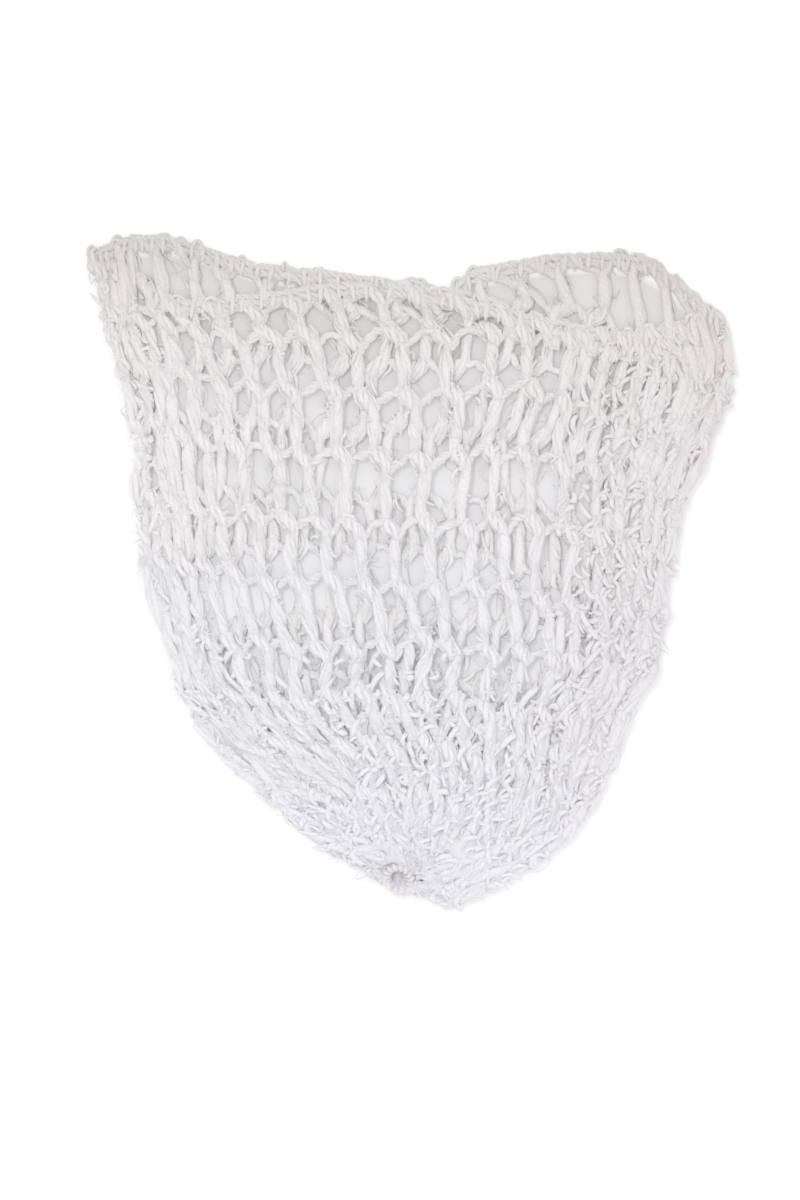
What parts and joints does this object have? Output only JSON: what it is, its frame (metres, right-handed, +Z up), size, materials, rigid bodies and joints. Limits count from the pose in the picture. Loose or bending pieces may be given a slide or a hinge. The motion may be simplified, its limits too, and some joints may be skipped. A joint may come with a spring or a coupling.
{
  "type": "crocheted cotton hair snood",
  "caption": "Openwork crocheted cotton net bag for the hair, worked in rounds from a small start ring to a close-worked rim round its open mouth, lying flat.",
  "frame": {"origin": "on the floor it lies on, under the middle of the whole snood", "axes": "+Y from the start ring towards the mouth, +X to the right as it lies with its front layer up, +Z up"},
  "size_m": [0.2592, 0.2692, 0.0155],
  "materials": {
    "net_cotton": "matte white cotton yarn, crocheted in an open mesh",
    "rim_cotton": "matte white cotton yarn, worked close",
    "ring_cotton": "matte white cotton yarn, wound into a small ring"
  },
  "bodies": {
    "root": {"net_bag": "net_cotton", "rim_band": "rim_cotton", "crown_ring": "ring_cotton"}
  },
  "joints": []
}
